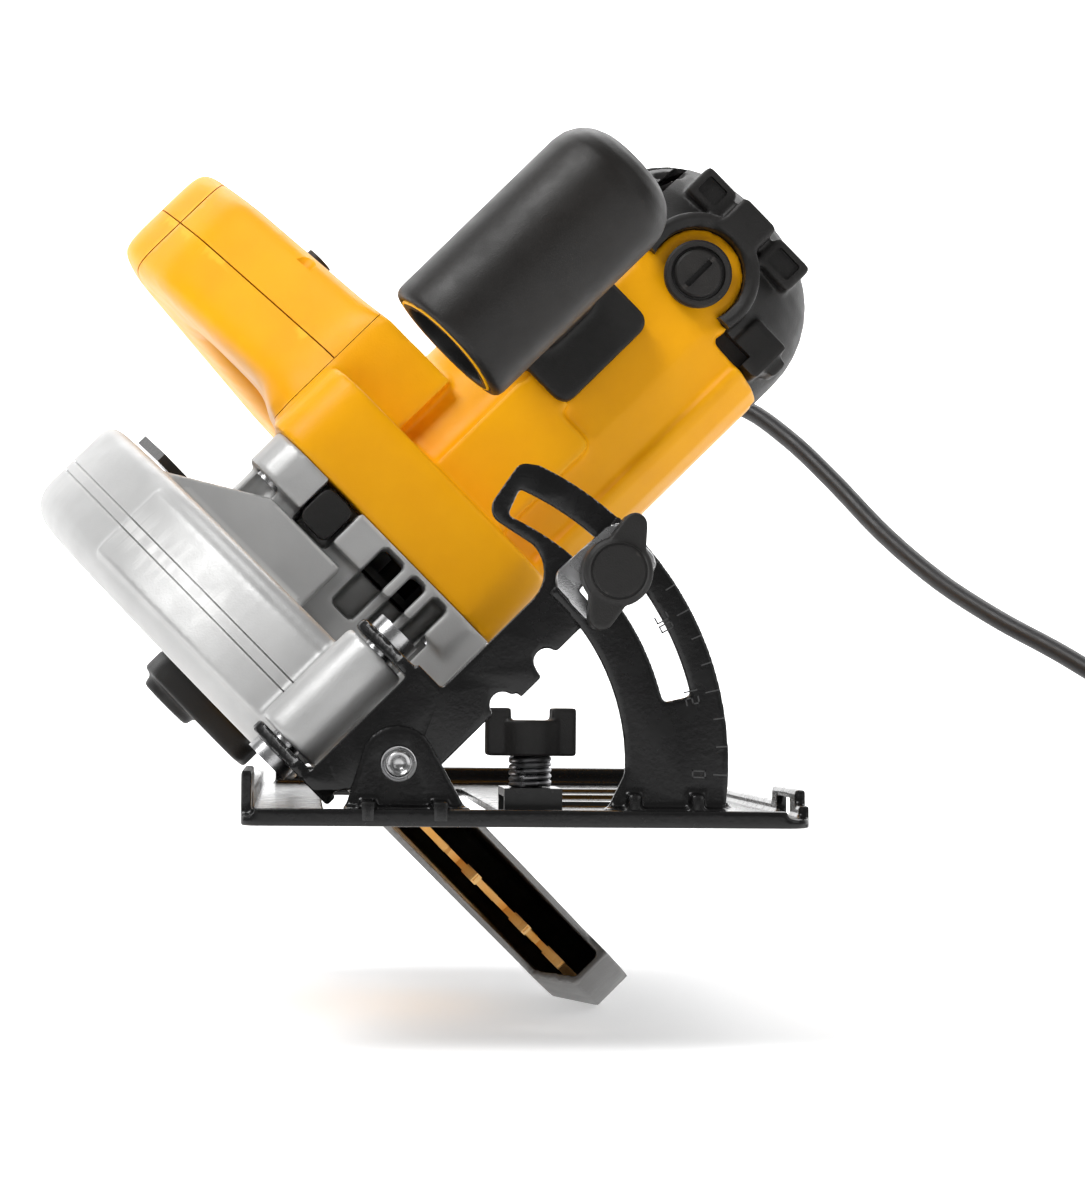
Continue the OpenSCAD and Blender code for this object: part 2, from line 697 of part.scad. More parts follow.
// ---- bevel clamp ----
clamp_y = -136.2;
module at_bolt() {
    base() rotate([0, -bolt_a, 0]) translate([slot_r, 0, 0]) children();
}
module clamp_plate() {
    color("dimgray") at_bolt() along_y(clamp_y, ear_y - lift) difference() {
        polygon(rounded(box2([-12.6, -6.4], [10, 9.4]), 4));
        circle(r = 3.02);
        translate([-slot_r, 0]) polygon(sector(window_r[0], window_r[1], -3.6, 2.4, 4));
    }
}
module clamp_bolt() {
    color("silver") at_bolt() {
        rod(3, -146, plate_y + sheet + 4, 0, 0);
        rod(6, plate_y + sheet + lift, plate_y + sheet + 4, 0, 0);
    }
}
wing_a = 28.6;
knob_y = -149;
module bevel_knob() {
    color("dimgray") at_bolt() difference() {
        union() {
            rod(8.4, knob_y + 1.5, clamp_y - 0.1, 0, 0);
            rod(7.4, knob_y, clamp_y - 3, 0, 0);
            for (s = [0, 180]) rotate([0, -wing_a - s, 0]) hull() {
                rod(5, knob_y + 2, clamp_y - 1, 3, 0, $fn = 32);
                rod(3, knob_y + 3, clamp_y - 2.5, 11, 0, $fn = 32);
            }
        }
        rod(3.02, -146.1, clamp_y + 1, 0, 0);
    }
}

// ---- base ----
shoe_x0 = -37;
shoe_x1 = shoe_x0 + shoe_w;
shoe_y0 = -140;
shoe_y1 = shoe_y0 + shoe_l;
top_z = sole_z + shoe_t;
blade_gap = [[-17, -106], [27, 108]];
fence_gap = [-118, -98];
module shoe() {
    color("dimgray") base() {
        difference() {
            union() {
                translate([0, 0, sole_z]) linear_extrude(height = shoe_t)
                    polygon(rounded(box2([shoe_x0, shoe_y0], [shoe_x1, shoe_y1]), [3, 6, 8, 6]));
                block([shoe_x0 + 3, shoe_y0, top_z - 0.1], [shoe_x1 - 6, shoe_y0 + 2.5, sole_z + 4.2]);
                block([shoe_x0 + 6, shoe_y1 - 2.5, top_z - 0.1], [shoe_x1 - 8, shoe_y1, sole_z + 8]);
                block([shoe_x0, shoe_y0 + 3, top_z - 0.1], [shoe_x0 + 2.5, shoe_y1 - 6, sole_z + 8]);
                block([shoe_x0, shoe_y0 + 3, top_z - 0.1], [shoe_x0 + 2.5, -84, sole_z + 13]);
                block([shoe_x1 - 2.5, shoe_y0 + 6, top_z - 0.1], [shoe_x1, shoe_y1 - 8, sole_z + 5.4]);
                block([shoe_x1 - 2.5, -128, top_z - 0.1], [shoe_x1, -88, sole_z + 9]);
                for (y = [-60, 0, 60]) block([40, y - 4, top_z - 0.1], [88, y + 4, top_z + 1.4]);
            }
            translate([0, 0, sole_z - 1]) linear_extrude(height = 5)
                polygon(rounded(box2(blade_gap[0], blade_gap[1]), 3));
            for (x = [shoe_x0, shoe_x1]) block([x - 4, fence_gap[0], top_z],
                [x + 4, fence_gap[1], top_z + 4.2]);
        }
    }
}
module front_ear() {
    color("dimgray") base() {
        along_y(ear_y, ear_y + sheet) difference() {
            polygon(concat([[17, top_z], [9 * cos(28), 9 * sin(28)]], arc([0, 0], 9, 28, 152),
                [[-13, top_z]]));
            circle(r = 2.52);
        }
        block([-13, shoe_y0 + 2.6, top_z], [17, ear_y + sheet, top_z + 2]);
        for (x = [-9, 8]) block([x, shoe_y0 - 0.8, sole_z + 1], [x + 3.6, shoe_y0, sole_z + 6]);
        for (x = [-9, 8]) block([x, shoe_y0 - 0.8, sole_z + 4.2], [x + 3.6, ear_y + 1, sole_z + 6]);
    }
}
module bevel_quadrant() {
    color("dimgray") base() {
        along_y(ear_y, ear_y + sheet) difference() {
            union() {
                polygon(sector(54, 78.8, -8, 49));
                polygon([[49, top_z], [78, top_z], [78.5, -6], [54, -2]]);
            }
            bevel_slot(13.4, 48);
            polygon(sector(window_r[0], window_r[1], 38.4, 44.4, 4));
        }
        block([49, shoe_y0 + 2.6, top_z], [78, ear_y + sheet, top_z + 2]);
        for (x = [56, 71]) block([x - 1.5, ear_y - 5, top_z], [x + 1.5, ear_y + 0.5, top_z + 5.5]);
    }
}
module rear_ear() {
    color("dimgray") base() {
        along_y(back_y + sheet + lift, back_y + 2 * sheet + lift) difference() {
            polygon(concat([[15, top_z], [9 * cos(28), 9 * sin(28)]], arc([0, 0], 9, 28, 152),
                [[-15, top_z]]));
            circle(r = 2.52);
        }
        block([-15, back_y + sheet + lift, top_z], [15, shoe_y1 - 6, top_z + 2]);
    }
}
module pivot_screw(head_y, tip_y, s) {
    difference() {
        rod(4.2, min(head_y, head_y + s * 5), max(head_y, head_y + s * 5));
        translate([0, head_y - 3, 0]) rotate([-90, 0, 0]) cylinder(h = 6, r = 2.3, $fn = 6);
    }
    rod(2.5, min(head_y + s * 4.5, tip_y), max(head_y + s * 4.5, tip_y));
}
module front_pivot() {
    color("silver") base() {
        pivot_screw(ear_y - 5.2, plate_y + sheet + 3.5, 1);
        translate([0, 3.5, 0]) rod(4.5, plate_y + sheet - 3.3, plate_y + sheet);
    }
}
module rear_pivot() {
    color("silver") base() {
        pivot_screw(back_y + 2 * sheet + 5.4, back_y - 3.5, -1);
        rod(4.5, back_y - 3.5, back_y - 0.2);
    }
}
bridge_z = top_z + 4.2;
module fence_bridge() {
    color("dimgray") base() difference() {
        union() {
            block([fence_x - 7, -120.5, bridge_z], [fence_x + 7, -95.5, bridge_z + 2]);
            for (y = [-120.5, -97.5]) block([fence_x - 7, y, top_z], [fence_x + 7, y + 2, bridge_z + 1]);
        }
        translate([fence_x, fence_y, top_z]) cylinder(h = 12, r = 3.02);
    }
}
knob_z0 = 1.7;
knob_z1 = 13.4;
module fence_knob() {
    color("dimgray") base() translate([fence_x, fence_y, 0]) difference() {
        union() {
            translate([0, 0, knob_z0]) cylinder(h = knob_z1 - knob_z0 - 3, r = 8.6);
            for (a = [0, 180]) rotate(a) translate([5, -5.5, knob_z0]) cube([5.9, 11, knob_z1 - knob_z0]);
            translate([0, 0, bridge_z - 0.4]) cylinder(h = knob_z0 - bridge_z + 1, r = 3);
        }
        for (a = [0, 180], y = [-3.2, 0, 3.2]) rotate(a) translate([10.4, y - 0.5, knob_z0 - 1])
            cube([2, 1, 20]);
    }
}
module fence_spring() {
    color("lightgray") base() translate([fence_x, fence_y, bridge_z + 2]) difference() {
        cylinder(h = knob_z0 - bridge_z - 2, r = 5.4);
        translate([0, 0, -1]) cylinder(h = 20, r = 3.6);
    }
}

// ---- cord ----
exit_y = 162;
exit_w = 74;
relief_l = 44;
relief = [handle_u, exit_y, exit_w];
module strain_relief() {
    color("dimgray") saw() translate(relief) rotate([-90, 0, 0]) {
        translate([0, 0, -14]) cylinder(h = 14, r = 6.9);
        cylinder(h = relief_l, r1 = 6.6, r2 = 4.4);
    }
}
// The cord's way from the strain relief to the coil, from the bevel axis
route = [
    [-6, 206, 98], [-4, 226, 101], [6, 246, 107], [26, 258, 114], [52, 261, 120],
    [80, 253, 124], [106, 238, 124], [128, 220, 118], [143, 206, 106], [157, 192, 90],
    [171, 176, 72], [186, 158, 56], [202, 140, 43], [220, 122, 31], [238, 104, 17],
    [256, 86, 0], [274, 69, -20], [292, 52, -40], [308, 34, -54], [320, 12, -62],
    [324.9, -14, -64.5]
];
cord_r = cord_d / 2;
function spline(p, i, t) =
    let (
        n = len(p) - 1,
        a = p[max(i - 1, 0)],
        b = p[i],
        c = p[i + 1],
        d = p[min(i + 2, n)]
    )
    0.5 * (2 * b + (c - a) * t + (2 * a - 5 * b + 4 * c - d) * t * t
        + (3 * b - a - 3 * c + d) * t * t * t);
function path(p, n) =
    concat([for (i = [0:len(p) - 2], k = [0:n - 1]) spline(p, i, k / n)], [p[len(p) - 1]]);
function ring_at(p, i, r, sides) =
    let (
        n = len(p) - 1,
        d = unit(p[min(i + 1, n)] - p[max(i - 1, 0)]),
        x = unit(cross(d, [0.3, 0.2, 1])),
        y = cross(d, x)
    )
    [for (k = [0:sides - 1]) p[i] + r * (cos(360 * k / sides) * x + sin(360 * k / sides) * y)];
module sweep(p, r, sides = 8) {
    n = len(p);
    points = [for (i = [0:n - 1]) each ring_at(p, i, r, sides)];
    faces = concat(
        [[for (k = [0:sides - 1]) k]],
        [for (i = [0:n - 2], k = [0:sides - 1]) let (j = (k + 1) % sides)
            [i * sides + k, (i + 1) * sides + k, (i + 1) * sides + j, i * sides + j]],
        [[for (k = [sides - 1:-1:0]) (n - 1) * sides + k]]
    );
    polyhedron(points, faces);
}
module cord_run() {
    color("dimgray") base() sweep(path(route, 2), cord_r);
}
coil_at = [284.6, -14, -pivot_z];
coil_mid = 11 * cord_d / 2;
tie_t = 1;
coil_in = coil_mid - coil_across * cord_d / 2;
coil_out = coil_mid + coil_across * cord_d / 2;
coil_top = tie_t + coil_high * cord_d;
module cord_coil() {
    color("dimgray") base() translate(coil_at) rotate_extrude()
        polygon(rounded(box2([coil_in, tie_t], [coil_out, coil_top]), 2.5));
}
module cord_ties() {
    color("black") base() translate(coil_at) for (a = [60, 240]) rotate(a) difference() {
        block([coil_in - tie_t, -5, 0], [coil_out + tie_t, 5, coil_top + tie_t]);
        block([coil_in, -6, tie_t], [coil_out, 6, coil_top]);
    }
}
plug_t = 16;
plug_r = 17.5;
module at_plug() {
    base() translate(coil_at + [-coil_mid + 3, 0, coil_top]) children();
}
module plug() {
    color("dimgray") at_plug() {
        linear_extrude(height = plug_t) polygon(rounded([[-13, 22], [13, 22], [plug_r, 8],
            [13, -10], [6, -18], [-6, -18], [-13, -10], [-plug_r, 8]], [3, 3, 8, 8, 2, 2, 8, 8]));
        translate([0, -17.5, plug_t / 2]) rotate([90, 0, 0]) cylinder(h = 10, r1 = 5, r2 = 4);
    }
}
module plug_pins() {
    color("silver") at_plug() for (x = [-9.5, 9.5])
        translate([x, 21.9, plug_t / 2]) rotate([-90, 0, 0]) cylinder(h = 19, r = 2.4);
}

upper_guard();
lower_guard();
guard_lever();
guard_spring();
dust_port();
blade();
inner_flange();
outer_flange();
blade_bolt();
spindle_shaft();
drive_gear();
spindle_bearings();
gear_case();
gear_case_screws();
spindle_lock();
motor_housing();
housing_screws();
end_cap();
brush_caps();
carbon_brushes();
stator();
armature_shaft();
armature_core();
commutator();
fan();
armature_bearings();
left_handle();
right_handle();
handle_screws();
switch();
trigger();
trigger_pin();
lock_button();
front_handle_arm();
front_handle_core();
front_grip();
tilt_bracket();
depth_pin();
depth_bracket();
depth_bolt();
depth_lever();
clamp_plate();
clamp_bolt();
bevel_knob();
shoe();
front_ear();
bevel_quadrant();
rear_ear();
front_pivot();
rear_pivot();
fence_bridge();
fence_knob();
fence_spring();
strain_relief();
cord_run();
cord_coil();
cord_ties();
plug();
plug_pins();
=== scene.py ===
"""A corded circular saw resting with its base at 45 degrees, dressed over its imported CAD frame."""
import json
import math

import bmesh
import bpy
import numpy as np
from mathutils import Matrix, Vector


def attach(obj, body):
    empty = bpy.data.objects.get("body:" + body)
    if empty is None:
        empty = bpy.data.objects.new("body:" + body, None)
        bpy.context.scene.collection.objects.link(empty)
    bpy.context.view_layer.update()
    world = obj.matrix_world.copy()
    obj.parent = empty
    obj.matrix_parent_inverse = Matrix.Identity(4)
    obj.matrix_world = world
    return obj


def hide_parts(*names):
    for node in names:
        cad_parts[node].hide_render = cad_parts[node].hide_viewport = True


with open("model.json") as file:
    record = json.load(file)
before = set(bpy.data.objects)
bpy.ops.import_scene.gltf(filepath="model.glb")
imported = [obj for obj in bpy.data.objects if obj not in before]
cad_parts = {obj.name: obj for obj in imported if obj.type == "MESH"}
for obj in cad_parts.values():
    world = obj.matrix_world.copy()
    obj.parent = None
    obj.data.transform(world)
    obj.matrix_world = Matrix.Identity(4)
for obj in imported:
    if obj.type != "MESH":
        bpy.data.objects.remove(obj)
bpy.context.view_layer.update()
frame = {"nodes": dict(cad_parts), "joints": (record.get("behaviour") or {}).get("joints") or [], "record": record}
nodes = frame["nodes"]
joints = {j["name"]: j for j in frame["joints"]}

MM = 0.001
PIVOT = Vector(joints["bevel_joint"]["pos_m"])
# Millimetres in the base frame (origin on the bevel axis) and in the saw frame
# (u along the spindle from blade to motor, y to the back, w up) to metres in the row frame
BASE = Matrix.Translation(PIVOT) @ Matrix.Scale(MM, 4)
SAW = BASE @ Matrix.Rotation(math.radians(-45), 4, "Y")


# ---------------------------------------------------------------- materials
class Nodes:
    """Builds one procedural material, with coordinates in millimetres."""

    def __init__(self, name):
        self.mat = bpy.data.materials.new(name)
        self.mat.use_nodes = True
        self.tree = self.mat.node_tree
        self.shader = self.tree.nodes["Principled BSDF"]
        coords = self.add("ShaderNodeTexCoord")
        self.mm = self.add("ShaderNodeMapping")
        self.mm.inputs["Scale"].default_value = (1000, 1000, 1000)
        self.link(coords.outputs["Object"], self.mm.inputs["Vector"])

    def add(self, kind, **settings):
        node = self.tree.nodes.new(kind)
        for key, value in settings.items():
            setattr(node, key, value)
        return node

    def link(self, a, b):
        self.tree.links.new(a, b)

    def noise(self, scale, detail=3.0, stretch=None):
        node = self.add("ShaderNodeTexNoise")
        node.inputs["Scale"].default_value = scale
        node.inputs["Detail"].default_value = detail
        source = self.mm
        if stretch:
            source = self.add("ShaderNodeMapping")
            source.inputs["Scale"].default_value = stretch
            self.link(self.mm.outputs[0], source.inputs["Vector"])
        self.link(source.outputs[0], node.inputs["Vector"])
        return node.outputs["Fac"]

    def span(self, fac, low, high, start=0.3, stop=0.7):
        node = self.add("ShaderNodeMapRange")
        for key, value in zip(("From Min", "From Max", "To Min", "To Max"),
                              (start, stop, low, high)):
            node.inputs[key].default_value = value
        self.link(fac, node.inputs["Value"])
        return node.outputs["Result"]

    def mix(self, fac, a, b):
        node = self.add("ShaderNodeMix", data_type="RGBA")
        for value, socket in ((fac, node.inputs[0]), (a, node.inputs[6]), (b, node.inputs[7])):
            if hasattr(value, "is_output"):
                self.link(value, socket)
            elif socket.type == "RGBA":
                socket.default_value = (*value, 1)
            else:
                socket.default_value = value
        return node.outputs[2]

    def edges(self, start, stop):
        """1 on sharp outer edges, 0 on flats and in corners."""
        geometry = self.add("ShaderNodeNewGeometry")
        return self.span(geometry.outputs["Pointiness"], 0.0, 1.0, start, stop)

    def bump(self, height, strength, distance, below=None):
        node = self.add("ShaderNodeBump")
        node.inputs["Strength"].default_value = strength
        node.inputs["Distance"].default_value = distance * MM
        self.link(height, node.inputs["Height"])
        if below:
            self.link(below, node.inputs["Normal"])
        self.link(node.outputs[0], self.shader.inputs["Normal"])
        return node.outputs[0]

    def set(self, **values):
        for key, value in values.items():
            socket = self.shader.inputs[key.replace("_", " ").title()]
            if hasattr(value, "is_output"):
                self.link(value, socket)
            elif socket.type == "RGBA":
                socket.default_value = (*value, 1)
            else:
                socket.default_value = value


def shade(name, colour, dark, rough, grain=0.0, grain_mm=0.5, metal=0.0, wear_and_highlight=None,
          coat=0.0, coat_rough=0.1, streak=None, mottle_mm=18.0, specular=0.5, waves=0.0):
    """A mottled colour with uneven roughness; a lighter colour on sharp edges is partly wear and partly a painted
    highlight; grain and waves are bumps.
    """
    n = Nodes(name)
    cloud = n.noise(1 / mottle_mm, 4)
    base = n.mix(n.span(cloud, 0, 1), dark, colour)
    if streak:
        base = n.mix(n.span(n.noise(1, 2, streak), 0.0, 0.35), base, [c * 0.75 for c in colour])
    # Sharp outer edges take a lighter colour: partly real wear, partly a painted highlight.
    if wear_and_highlight:
        base = n.mix(n.edges(0.52, 0.62), base, wear_and_highlight)
    n.set(base_color=base, metallic=metal)
    fine = n.noise(1 / grain_mm, 2)
    rough_map = n.span(n.noise(1 / (mottle_mm * 0.35), 5), rough - 0.05, rough + 0.07)
    n.set(roughness=rough_map)
    n.shader.inputs["Specular IOR Level"].default_value = specular
    n.shader.inputs["Coat Weight"].default_value = coat
    n.shader.inputs["Coat Roughness"].default_value = coat_rough
    below = None
    if waves:
        below = n.bump(n.noise(1 / 7.0, 2), waves, 0.25)
    if grain:
        n.bump(fine, grain, grain_mm * 0.35, below)
    return n.mat


MATS = {
    "yellow": shade("yellow", (1.0, 0.455, 0.002), (0.94, 0.405, 0.002), 0.40, 0.3, 0.45,
                    wear_and_highlight=(1.0, 0.52, 0.02), specular=0.2),
    "black_plastic": shade("black_plastic", (0.0135, 0.0125, 0.012), (0.010, 0.0095, 0.009), 0.48,
                           0.55, 0.4, wear_and_highlight=(0.034, 0.031, 0.029), specular=0.34),
    "soft_grip": shade("soft_grip", (0.0115, 0.0098, 0.0085), (0.009, 0.0078, 0.007), 0.44, 0.4,
                       0.35, wear_and_highlight=(0.022, 0.019, 0.017), specular=0.36),
    "cast": shade("cast", (0.53, 0.53, 0.525), (0.46, 0.46, 0.457), 0.46, 0.16, 0.6, metal=0.45,
                  wear_and_highlight=(0.68, 0.68, 0.67), waves=0.03),
    "guard_grey": shade("guard_grey", (0.22, 0.216, 0.212), (0.18, 0.176, 0.173), 0.42, 0.35, 0.6,
                        metal=0.5, wear_and_highlight=(0.42, 0.42, 0.41), waves=0.03),
    "black_steel": shade("black_steel", (0.006, 0.0058, 0.006), (0.0045, 0.0045, 0.0045), 0.24,
                         0.12, 1.2, coat=0.22, coat_rough=0.10, wear_and_highlight=(0.024, 0.024, 0.024),
                         waves=0.04, specular=0.26),
    "bright_steel": shade("bright_steel", (0.50, 0.50, 0.50), (0.40, 0.40, 0.41), 0.26, 0.2, 0.3,
                          metal=1.0, streak=(0.2, 6, 0.2)),
    "blade_steel": shade("blade_steel", (0.85, 0.36, 0.03), (0.75, 0.30, 0.02), 0.34, 0.2, 0.4,
                         metal=0.3, wear_and_highlight=(0.9, 0.55, 0.2)),
    "spring_steel": shade("spring_steel", (0.35, 0.35, 0.36), (0.25, 0.25, 0.26), 0.3, 0.2, 0.4,
                          metal=1.0),
    "core_steel": shade("core_steel", (0.25, 0.25, 0.26), (0.17, 0.17, 0.18), 0.42, 0.3, 0.5,
                        metal=0.9, streak=(8, 0.3, 8)),
    "copper": shade("copper", (0.72, 0.33, 0.14), (0.55, 0.24, 0.10), 0.3, 0.3, 0.5, metal=1.0),
    "carbon": shade("carbon", (0.03, 0.03, 0.032), (0.02, 0.02, 0.021), 0.6, 0.4, 0.4),
    "cord_rubber": shade("cord_rubber", (0.014, 0.014, 0.015), (0.010, 0.010, 0.011), 0.42, 0.4,
                         0.5),
    "brass": shade("brass", (0.66, 0.60, 0.50), (0.55, 0.49, 0.40), 0.22, 0.2, 0.4, metal=1.0),
}
slot_of = {s["node"]: s["material_slot"] for s in frame["record"]["subparts"]}
for name, node in nodes.items():
    node.data.materials.clear()
    node.data.materials.append(MATS[slot_of[name]])
    for face in node.data.polygons:
        face.material_index = 0


# ---------------------------------------------------------------- stage
def stage():
    """A white floor that curves up, with a radius of 1 m, into a wall behind the saw; both glow with painted
    light, weakest near the saw and brightest up the wall.
    """
    near, foot, top, half_width = -7.0, 1.3, 4.0, 9.0
    curve = [(foot + math.sin(math.radians(a)), 1 - math.cos(math.radians(a)))
             for a in range(10, 91, 10)]
    path = [(near, 0.0), (foot, 0.0)] + curve + [(foot + 1, top)]
    verts = [(x, y, z) for y, z in path for x in (-half_width, half_width)]
    mesh = bpy.data.meshes.new("floor")
    faces = [(2 * i, 2 * i + 1, 2 * i + 3, 2 * i + 2) for i in range(len(path) - 1)]
    mesh.from_pydata(verts, [], faces)
    for face in mesh.polygons:
        face.use_smooth = True
    floor = bpy.data.objects.new("floor", mesh)
    bpy.context.scene.collection.objects.link(floor)
    n = Nodes("floor")
    n.set(base_color=n.mix(n.span(n.noise(1 / 400.0, 2), 0, 1), (0.84, 0.84, 0.845),
                           (0.87, 0.87, 0.87)), roughness=0.7)
    # Painted light: the floor glows, from 0.42 near the saw up to 1.05 on the wall, so the wall shows white and
    # the shadow stays light.
    n.shader.inputs["Emission Color"].default_value = (1, 1, 1, 1)
    split = n.add("ShaderNodeSeparateXYZ")
    n.link(n.mm.outputs["Vector"], split.inputs["Vector"])
    painted_glow = n.add("ShaderNodeMapRange")
    n.link(split.outputs["Y"], painted_glow.inputs["Value"])
    for key, value in (("From Min", 500), ("From Max", 1900), ("To Min", 0.42), ("To Max", 1.05)):
        painted_glow.inputs[key].default_value = value
    n.link(painted_glow.outputs["Result"], n.shader.inputs["Emission Strength"])
    floor.data.materials.append(n.mat)
    world = bpy.data.worlds.new("studio")
    bpy.context.scene.world = world
    world.use_nodes = True
    world.node_tree.nodes["Background"].inputs["Color"].default_value = (1, 1, 1, 1)
    world.node_tree.nodes["Background"].inputs["Strength"].default_value = 0.22
    bpy.context.scene.view_settings.view_transform = "Standard"


def softbox(name, at, aim, size, power):
    light = bpy.data.lights.new(name, "AREA")
    light.shape = "RECTANGLE"
    light.size, light.size_y = size
    light.energy = power
    lamp = bpy.data.objects.new(name, light)
    lamp.location = at
    lamp.rotation_euler = (Vector(aim) - Vector(at)).to_track_quat("-Z", "Y").to_euler()
    bpy.context.scene.collection.objects.link(lamp)


SENSOR_MM, LENS_MM = 36.0, 98.4
EYE = (-23.6, -910, 15.3)                         # from the bevel axis
AIM_RIGHT, AIM_UP, ROLL = 4.23, 1.75, 0.5         # degrees


def camera():
    """Low in front of the saw, almost square to its base."""
    data = bpy.data.cameras.new("camera")
    data.sensor_fit = "VERTICAL"
    data.sensor_height = SENSOR_MM
    data.sensor_width = SENSOR_MM
    data.lens = LENS_MM
    data.clip_end = 50
    lens = bpy.data.objects.new("camera", data)
    lens.matrix_world = (Matrix.Translation(BASE @ Vector(EYE))
                         @ Matrix.Rotation(-math.radians(AIM_RIGHT), 4, "Z")
                         @ Matrix.Rotation(math.radians(90) + math.radians(AIM_UP), 4, "X")
                         @ Matrix.Rotation(math.radians(ROLL), 4, "Z"))
    bpy.context.scene.collection.objects.link(lens)
    bpy.context.scene.camera = lens


stage()
camera()
softbox("key", (-1.1, -1.0, 1.9), (0, 0, 0.12), (1.1, 1.1), 37)
softbox("fill", (1.3, -1.1, 0.9), (0, 0, 0.12), (0.8, 1.2), 3)
softbox("back", (0.2, 1.2, 1.9), (0, 0, 0.1), (2.4, 1.0), 22)

# ---------------------------------------------------------------- shape tools
# Shapes are built in millimetres in the saw or base frame, and placed by as_piece
def arc_points(centre, radius, start, stop, steps=10):
    return [(centre[0] + radius * math.cos(math.radians(start + (stop - start) * i / steps)),
             centre[1] + radius * math.sin(math.radians(start + (stop - start) * i / steps)))
            for i in range(steps + 1)]


def rounded(points, radii, steps=6):
    """A closed outline with its corners rounded."""
    out = []
    count = len(points)
    for i, point in enumerate(points):
        radius = radii[i] if isinstance(radii, (list, tuple)) else radii
        b = Vector(point)
        if not radius:
            out.append(tuple(b))
            continue
        p = (Vector(points[i - 1]) - b).normalized()
        q = (Vector(points[(i + 1) % count]) - b).normalized()
        half = p.angle(q) / 2
        mid = b + (p + q).normalized() * radius / math.sin(half)
        first = b + p * radius / math.tan(half) - mid
        last = b + q * radius / math.tan(half) - mid
        start = math.atan2(first.y, first.x)
        turn = (math.atan2(last.y, last.x) - start + math.pi) % (2 * math.pi) - math.pi
        out += [(mid.x + radius * math.cos(start + turn * k / steps),
                 mid.y + radius * math.sin(start + turn * k / steps)) for k in range(steps + 1)]
    return out


def box2(a, b):
    return [(a[0], a[1]), (b[0], a[1]), (b[0], b[1]), (a[0], b[1])]


def slab(outline, low, high, along="u"):
    """An outline in (y, w) carried along u, in (u, w) along y, or in (u, y) along w."""
    place = {"u": lambda p, t: (t, p[0], p[1]), "y": lambda p, t: (p[0], t, p[1]),
             "w": lambda p, t: (p[0], p[1], t)}[along]
    bm = bmesh.new()
    rings = [[bm.verts.new(place(p, t)) for p in outline] for t in (low, high)]
    bm.faces.new(rings[0])
    bm.faces.new(rings[1][::-1])
    for i in range(len(outline)):
        j = (i + 1) % len(outline)
        bm.faces.new((rings[0][i], rings[1][i], rings[1][j], rings[0][j]))
    bmesh.ops.recalc_face_normals(bm, faces=bm.faces)
    return bm


def turned(profile, along="u", at=(0, 0, 0), steps=64):
    """A closed profile of (radius, distance) turned round an axis."""
    bm = bmesh.new()
    place = {"u": lambda r, t, c, s: (t, r * c, r * s), "y": lambda r, t, c, s: (r * c, t, r * s),
             "w": lambda r, t, c, s: (r * c, r * s, t)}[along]
    rings = []
    for k in range(steps):
        angle = 2 * math.pi * k / steps
        rings.append([bm.verts.new(Vector(place(r, t, math.cos(angle), math.sin(angle)))
                                   + Vector(at)) for r, t in profile])
    for k in range(steps):
        a, b = rings[k], rings[(k + 1) % steps]
        for i in range(len(profile)):
            j = (i + 1) % len(profile)
            bm.faces.new((a[i], a[j], b[j], b[i]))
    bmesh.ops.remove_doubles(bm, verts=bm.verts, dist=1e-5)
    bmesh.ops.delete(bm, geom=[e for e in bm.edges if not e.link_faces], context="EDGES")
    bmesh.ops.recalc_face_normals(bm, faces=bm.faces)
    return bm


def drum(radius, low, high, along="u", at=(0, 0, 0), edge=0.0, steps=48):
    """A cylinder, its rims rounded by edge."""
    rim = [(0, low)]
    if edge:
        rim += arc_points((radius - edge, low + edge), edge, -90, 0, 4)
        rim += arc_points((radius - edge, high - edge), edge, 0, 90, 4)
    else:
        rim += [(radius, low), (radius, high)]
    return turned(rim + [(0, high)], along, at, steps)


def tube_mesh(points, radius, closed=False, sides=10):
    """A round tube along points, in the same millimetres."""
    bm = bmesh.new()
    rings = []
    count = len(points)
    side = None
    for i, point in enumerate(points):
        before = Vector(points[i - 1]) if i or closed else Vector(point)
        after = Vector(points[(i + 1) % count]) if i < count - 1 or closed else Vector(point)
        along = (after - before).normalized()
        side = along.orthogonal() if side is None else side - along * side.dot(along)
        side.normalize()
        other = along.cross(side)
        rings.append([bm.verts.new(Vector(point) + radius * (
            side * math.cos(2 * math.pi * k / sides) + other * math.sin(2 * math.pi * k / sides)))
            for k in range(sides)])
    for i in range(count if closed else count - 1):
        a, b = rings[i], rings[(i + 1) % count]
        for k in range(sides):
            m = (k + 1) % sides
            bm.faces.new((a[k], a[m], b[m], b[k]))
    if not closed:
        bm.faces.new(rings[0][::-1])
        bm.faces.new(rings[-1])
    bmesh.ops.recalc_face_normals(bm, faces=bm.faces)
    return bm


def joined(*parts):
    """Several shapes as one, still overlapping."""
    bm = bmesh.new()
    for part in parts:
        mesh = bpy.data.meshes.new("part")
        part.to_mesh(mesh)
        part.free()
        bm.from_mesh(mesh)
        bpy.data.meshes.remove(mesh)
    return bm


def work_object(shape, name="work"):
    if isinstance(shape, bmesh.types.BMesh):
        mesh = bpy.data.meshes.new(name)
        shape.to_mesh(mesh)
        shape.free()
    else:
        mesh = shape
    work = bpy.data.objects.new(name, mesh)
    bpy.context.scene.collection.objects.link(work)
    return work


def through(shape, *steps):
    """The mesh after temporary modifiers, each a (kind, settings) pair."""
    work = work_object(shape)
    for kind, settings in steps:
        step = work.modifiers.new(kind.lower(), kind)
        for key, value in settings.items():
            setattr(step, key, value)
    bpy.context.view_layer.update()
    mesh = bpy.data.meshes.new_from_object(
        work.evaluated_get(bpy.context.evaluated_depsgraph_get()))
    bpy.data.objects.remove(work)
    return mesh


def cut(shape, tool, operation="DIFFERENCE"):
    knife = work_object(tool, "knife")
    knife.hide_render = True
    mesh = through(shape, ("BOOLEAN", {"object": knife, "operation": operation,
                                       "solver": "MANIFOLD"}))
    bpy.data.objects.remove(knife)
    return mesh


